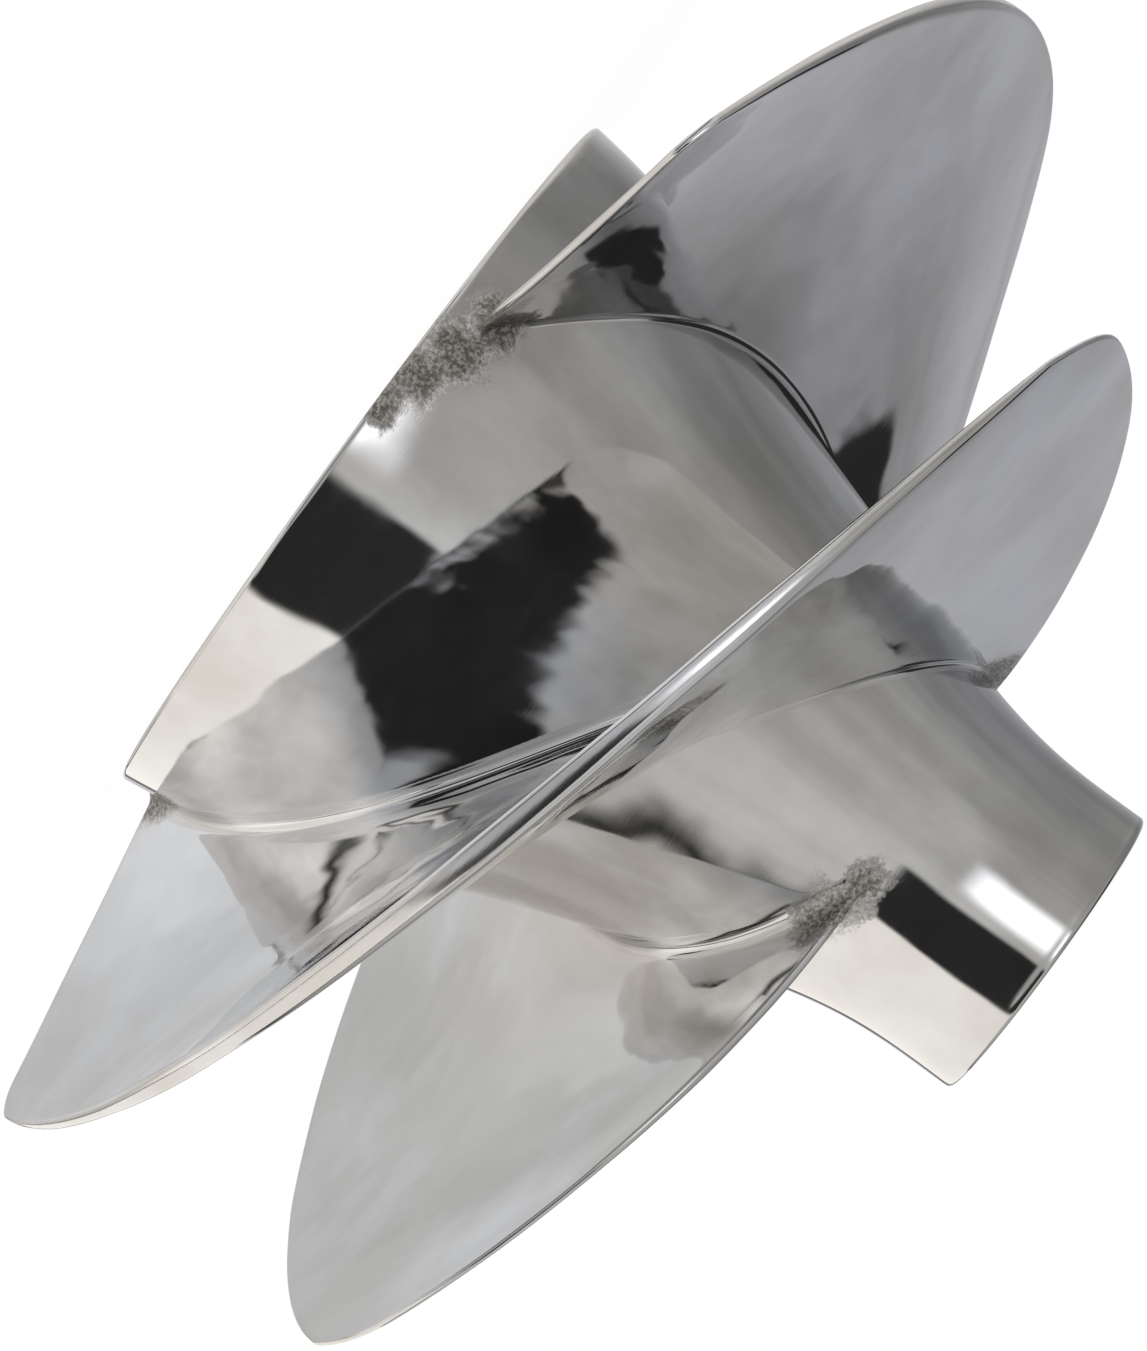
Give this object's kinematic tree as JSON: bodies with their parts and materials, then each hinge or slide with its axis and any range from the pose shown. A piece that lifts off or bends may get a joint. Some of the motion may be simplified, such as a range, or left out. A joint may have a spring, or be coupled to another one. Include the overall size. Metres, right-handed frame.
{
  "type": "jet pump impeller",
  "caption": "Polished stainless impeller for a watercraft jet pump: a bell-shaped hub with long wrapped blades, a splined nose socket and a hollow rear.",
  "frame": {"origin": "centre of the hub's large rim, in the plane of the rim that the part stands on", "axes": "+Z along the turning axis towards the small nose, where the drive shaft enters; -Y is the side that faces the reader's view, with the middle of blade_2 on it"},
  "size_m": [0.155, 0.155, 0.0888],
  "materials": {
    "polished_stainless": "stainless steel polished to a near-mirror, with fine polishing lines",
    "cast_stainless": "as-cast stainless steel, matt and slightly grainy",
    "machined_steel": "broached and turned steel, satin",
    "bronze": "turned bronze, satin",
    "black_rubber": "moulded black rubber, matt",
    "spring_steel": "blued spring steel, satin"
  },
  "bodies": {
    "root": {"hub_shell": "polished_stainless", "blade_1": "polished_stainless", "blade_2": "polished_stainless", "blade_3": "polished_stainless", "core_tube": "cast_stainless", "rib_1": "cast_stainless", "rib_2": "cast_stainless", "rib_3": "cast_stainless", "drive_spline_sleeve": "machined_steel", "pump_shaft_bush": "bronze", "shaft_bumper": "black_rubber", "nose_seal_ring": "black_rubber", "rear_seal_ring": "black_rubber", "retaining_ring": "spring_steel"}
  },
  "joints": []
}
